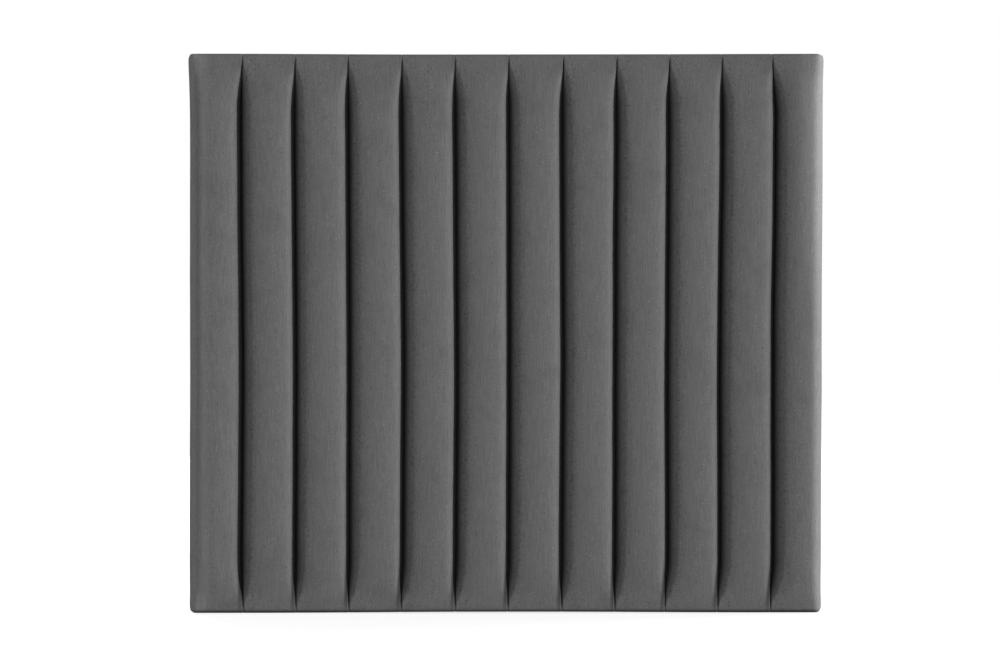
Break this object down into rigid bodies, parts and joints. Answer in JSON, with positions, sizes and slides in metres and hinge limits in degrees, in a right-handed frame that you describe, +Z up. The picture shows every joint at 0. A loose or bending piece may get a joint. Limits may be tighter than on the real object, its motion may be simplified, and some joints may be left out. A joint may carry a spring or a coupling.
{
  "type": "headboard",
  "caption": "Floor-standing upholstered headboard with upright padded channels in dark grey velvet over a softwood frame.",
  "frame": {"origin": "under the middle of the bottom edge, at floor level, halfway between the front of the channels and the back of the dust-cover staples", "axes": "+Z up, -Y out of the padded front, +Y out of the back, +X to the right as seen from the front"},
  "size_m": [1.3598, 0.0856, 1.2],
  "materials": {
    "velvet": "short-pile velvet",
    "wadding": "polyester wadding",
    "foam": "open-cell foam",
    "board": "smooth hardboard",
    "softwood": "sawn and planed softwood",
    "seam_strip": "pressed fibre strip",
    "staple_wire": "galvanised wire",
    "screw_steel": "yellow zinc plate",
    "insert_zinc": "bright zinc plate",
    "dust_cloth": "spun-bonded cloth"
  },
  "bodies": {
    "root": {"cover_strip_01": "velvet", "cover_strip_02": "velvet", "cover_strip_03": "velvet", "cover_strip_04": "velvet", "cover_strip_05": "velvet", "cover_strip_06": "velvet", "cover_strip_07": "velvet", "cover_strip_08": "velvet", "cover_strip_09": "velvet", "cover_strip_10": "velvet", "cover_strip_11": "velvet", "cover_strip_12": "velvet", "wadding_01": "wadding", "wadding_02": "wadding", "wadding_03": "wadding", "wadding_04": "wadding", "wadding_05": "wadding", "wadding_06": "wadding", "wadding_07": "wadding", "wadding_08": "wadding", "wadding_09": "wadding", "wadding_10": "wadding", "wadding_11": "wadding", "wadding_12": "wadding", "foam_bolster_01": "foam", "foam_bolster_02": "foam", "foam_bolster_03": "foam", "foam_bolster_04": "foam", "foam_bolster_05": "foam", "foam_bolster_06": "foam", "foam_bolster_07": "foam", "foam_bolster_08": "foam", "foam_bolster_09": "foam", "foam_bolster_10": "foam", "foam_bolster_11": "foam", "foam_bolster_12": "foam", "face_board": "board", "frame_rail_bottom": "softwood", "frame_rail_middle": "softwood", "frame_rail_top": "softwood", "frame_stile_left": "softwood", "frame_stile_right": "softwood", "fixing_batten_left": "softwood", "fixing_batten_right": "softwood", "seam_strips": "seam_strip", "seam_staples": "staple_wire", "hem_staples": "staple_wire", "dust_cover_staples": "staple_wire", "frame_screws": "screw_steel", "insert_nuts": "insert_zinc", "dust_cover": "dust_cloth"}
  },
  "joints": []
}
